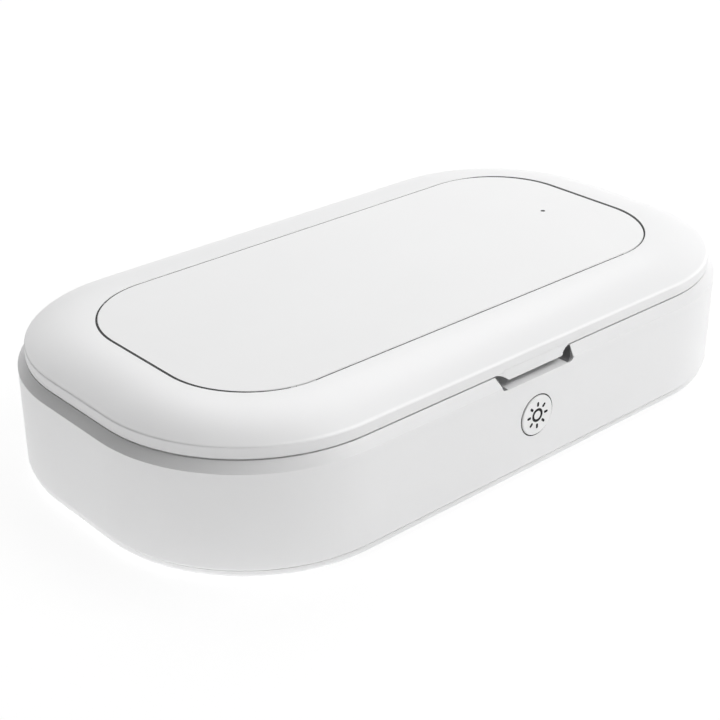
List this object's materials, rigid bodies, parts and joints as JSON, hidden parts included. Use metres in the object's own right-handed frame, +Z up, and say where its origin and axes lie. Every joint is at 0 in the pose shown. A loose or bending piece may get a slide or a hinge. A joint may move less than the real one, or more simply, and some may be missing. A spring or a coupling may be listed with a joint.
{
  "type": "uv sanitizer box for phones",
  "caption": "White rounded box with a hinged domed lid and flat charging pad, finger notch, front push button, UV lamps and a wire rack inside, and a USB power inlet at the rear.",
  "frame": {"origin": "middle of the box's footprint, on the surface that its feet stand on", "axes": "+X to the right along the long side, +Y to the rear where the hinges and the power inlet are, +Z up; the button and finger notch face -Y"},
  "size_m": [0.228, 0.1284, 0.0456],
  "materials": {
    "shell_white": "satin white moulding",
    "panel_white": "fine matt white",
    "button_white": "satin white with a dark printed icon",
    "liner_grey": "satin light grey moulding",
    "foot_rubber": "matt grey elastomer",
    "seal_rubber": "soft grey silicone",
    "steel": "plated steel",
    "reflector_aluminium": "bright rolled sheet",
    "lamp_glass": "clear quartz tube",
    "lamp_cap_white": "white ceramic and nylon",
    "rack_chrome": "bright plated wire",
    "board_green": "solder-masked board",
    "part_black": "matt black moulding",
    "plunger_grey": "matt",
    "core_grey": "matt ferrite",
    "coil_copper": "enamelled copper wire",
    "magnet_nickel": "nickel plated",
    "light_clear": "clear moulding"
  },
  "bodies": {
    "base": {"base_shell": "shell_white", "bottom_cover": "shell_white", "rubber_feet": "foot_rubber", "cover_screws": "steel", "chamber_tray": "liner_grey", "chamber_seal": "seal_rubber", "lid_bumpers": "foot_rubber", "lower_reflector": "reflector_aluminium", "lower_uv_lamp": "lamp_glass", "lower_lamp_caps": "lamp_cap_white", "lower_lamp_clips": "lamp_cap_white", "phone_rack": "rack_chrome", "control_board": "board_green", "lamp_transformer": "core_grey", "board_screws": "steel", "usb_socket": "steel", "usb_tongue": "part_black", "button_board": "board_green", "button_screws": "steel", "tact_switch": "part_black", "lid_sensor": "part_black", "base_magnets": "magnet_nickel", "hinge_pins": "steel"},
    "button": {"power_button": "button_white", "switch_plunger": "plunger_grey"},
    "lid": {"lid_shell": "shell_white", "top_panel": "panel_white", "panel_light_pipe": "light_clear", "charging_coil": "coil_copper", "coil_shield": "core_grey", "charging_board": "board_green", "charger_screws": "steel", "lid_liner": "liner_grey", "upper_reflector": "reflector_aluminium", "upper_uv_lamp": "lamp_glass", "upper_lamp_caps": "lamp_cap_white", "upper_lamp_clips": "lamp_cap_white", "lid_magnets": "magnet_nickel", "lid_screws": "steel"}
  },
  "joints": [
    {"name": "lid_hinge", "type": "hinge", "parent": "base", "child": "lid", "pos_m": [0, 0.0616, 0.0375], "axis": [-1, 0, 0], "range_deg": [0, 105]},
    {"name": "button_press", "type": "slide", "parent": "base", "child": "button", "axis": [0, 1, 0], "range_m": [0, 0.0006], "stiffness_N_per_m": 2500, "springref_m": -0.0004}
  ]
}
